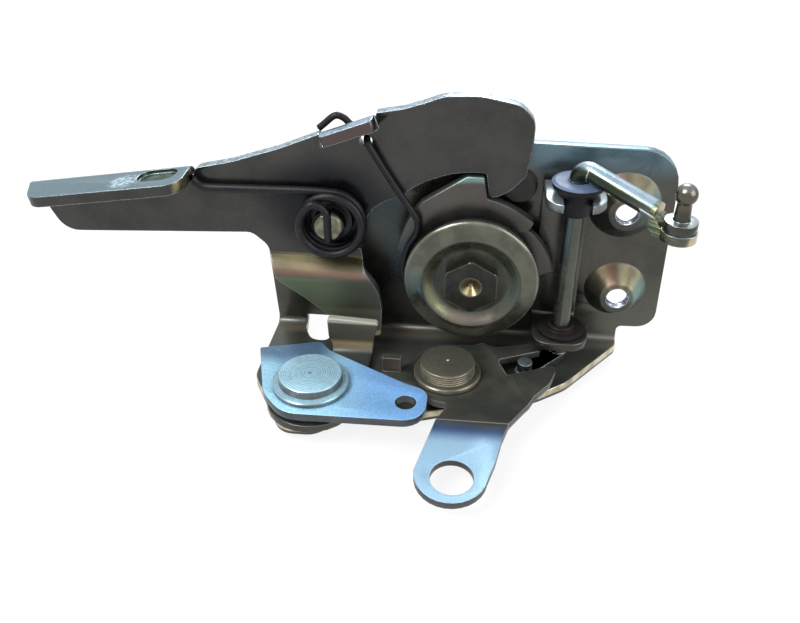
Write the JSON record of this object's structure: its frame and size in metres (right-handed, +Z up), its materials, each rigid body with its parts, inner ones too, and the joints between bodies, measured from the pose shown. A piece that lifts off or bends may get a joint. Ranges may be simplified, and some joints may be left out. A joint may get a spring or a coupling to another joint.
{
  "type": "car door latch mechanism",
  "caption": "L-shaped pressed steel base with a rotary ratchet and outer claw, a long pawl lever, two floor levers and a lock shaft with a ball stud.",
  "frame": {"origin": "on the rotor axis, in the outer face of the base wall that seats on the door", "axes": "+X along the lock away from the long pawl lever, +Y out of the wall's outer face towards the door, +Z up, away from the floor with its levers"},
  "size_m": [0.1441, 0.0686, 0.0647],
  "materials": {
    "zinc_base": "zinc plated sheet steel, satin, with a faint yellow tint at the bends and worn bright edges",
    "zinc_lever": "zinc plated sheet steel, smooth and reflective, gold and pink tints at the bends",
    "blue_zinc": "bright zinc plate with a pale blue cast and fine speckle",
    "turned_zinc": "turned steel with fine rings, zinc plated",
    "yellow_zinc": "zinc plated steel with yellow-green and pink tints",
    "plain_steel": "plain dull steel",
    "grey_steel": "grey sheared steel, satin",
    "black_spring_steel": "dark oiled spring wire",
    "grey_nylon": "lavender grey nylon, slightly dirty",
    "black_rubber": "dark rubber"
  },
  "bodies": {
    "base": {"base_plate": "zinc_base", "stop_buffer": "black_rubber", "rotor_bush": "plain_steel", "pawl_post": "turned_zinc", "pawl_spacer": "plain_steel", "release_rivet": "blue_zinc", "lock_rivet": "turned_zinc", "shaft_bracket": "zinc_base", "upper_bush": "grey_nylon", "lower_bush": "grey_nylon", "rotor_spring": "black_spring_steel"},
    "rotor": {"rotor_shaft": "plain_steel", "rotor_claw": "zinc_base", "ratchet_cam": "grey_steel", "rotor_spacer": "plain_steel", "dished_disc": "yellow_zinc"},
    "pawl": {"pawl_lever": "zinc_lever", "pawl_spring": "black_spring_steel"},
    "release": {"release_lever": "blue_zinc", "release_follower": "zinc_lever", "release_spacer": "plain_steel"},
    "lock_link": {"lock_lever": "zinc_lever", "lock_spacer": "plain_steel"},
    "shaft": {"lock_shaft": "turned_zinc", "ball_stud": "turned_zinc"}
  },
  "joints": [
    {"name": "rotor_turn", "type": "hinge", "parent": "base", "child": "rotor", "pos_m": [0, 0, 0], "axis": [0, -1, 0], "range_deg": [0, 79], "stiffness_Nm_per_rad": 0.12, "springref_deg": -28.65, "deforming": ["rotor_spring"]},
    {"name": "release_turn", "type": "hinge", "parent": "base", "child": "release", "pos_m": [-0.0329, -0.0336, -0.016], "axis": [0, 0, -1], "range_deg": [0, 11.5]},
    {"name": "pawl_lift", "type": "hinge", "parent": "base", "child": "pawl", "pos_m": [-0.0318, -0.0062, 0.0116], "axis": [0, -1, 0], "range_deg": [0, 9.8], "stiffness_Nm_per_rad": 0.25, "springref_deg": -22.92, "deforming": ["pawl_spring"]},
    {"name": "lock_lever_turn", "type": "hinge", "parent": "base", "child": "lock_link", "pos_m": [-0.0041, -0.0243, -0.018], "axis": [0, 0, 1], "range_deg": [0, 10.6]},
    {"name": "lock_shaft_turn", "type": "hinge", "parent": "base", "child": "shaft", "pos_m": [0.0209, -0.011, 0], "axis": [0, 0, 1], "range_deg": [-16, 0]}
  ],
  "couplings": [
    {"joint": "pawl_lift", "follows": "release_turn", "ratio": 0.845},
    {"joint": "lock_shaft_turn", "follows": "lock_lever_turn", "ratio": -1.504}
  ]
}
